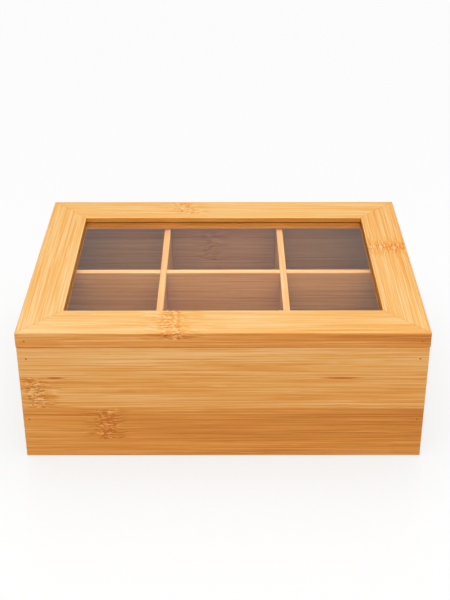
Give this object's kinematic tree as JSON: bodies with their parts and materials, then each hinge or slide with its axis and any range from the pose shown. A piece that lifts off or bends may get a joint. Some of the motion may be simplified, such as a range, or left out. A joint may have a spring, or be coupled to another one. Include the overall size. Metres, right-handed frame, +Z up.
{
  "type": "tea bag box",
  "caption": "Low rectangular bamboo box with a lattice of dividers and a hinged, mitred lid frame holding a clear pane.",
  "frame": {"origin": "middle of the base, on the surface the box stands on", "axes": "+X to the right along the long side, +Y towards the hinged back, +Z up; the front faces -Y"},
  "size_m": [0.22, 0.158, 0.0811],
  "materials": {
    "bamboo_boards": "satin lacquer",
    "bamboo_lid": "satin lacquer",
    "bamboo_dividers": "satin lacquer",
    "clear_pane": "polished clear acrylic",
    "brass": "polished",
    "brads": "plain drawn wire"
  },
  "bodies": {
    "box": {"front_wall": "bamboo_boards", "back_wall": "bamboo_boards", "left_wall": "bamboo_boards", "right_wall": "bamboo_boards", "floor_panel": "bamboo_boards", "cross_divider": "bamboo_dividers", "left_divider": "bamboo_dividers", "right_divider": "bamboo_dividers", "wall_brads": "brads", "left_hinge_box_leaf": "brass", "right_hinge_box_leaf": "brass", "left_hinge_pin": "brass", "right_hinge_pin": "brass", "box_hinge_screws": "brass"},
    "lid": {"lid_front_rail": "bamboo_lid", "lid_back_rail": "bamboo_lid", "lid_left_rail": "bamboo_lid", "lid_right_rail": "bamboo_lid", "lid_pane": "clear_pane", "lid_brads": "brads", "left_hinge_lid_leaf": "brass", "right_hinge_lid_leaf": "brass", "lid_hinge_screws": "brass"}
  },
  "joints": [
    {"name": "lid_hinge", "type": "hinge", "parent": "box", "child": "lid", "pos_m": [0, 0.0768, 0.07195], "axis": [-1, 0, 0], "range_deg": [0, 100]}
  ]
}
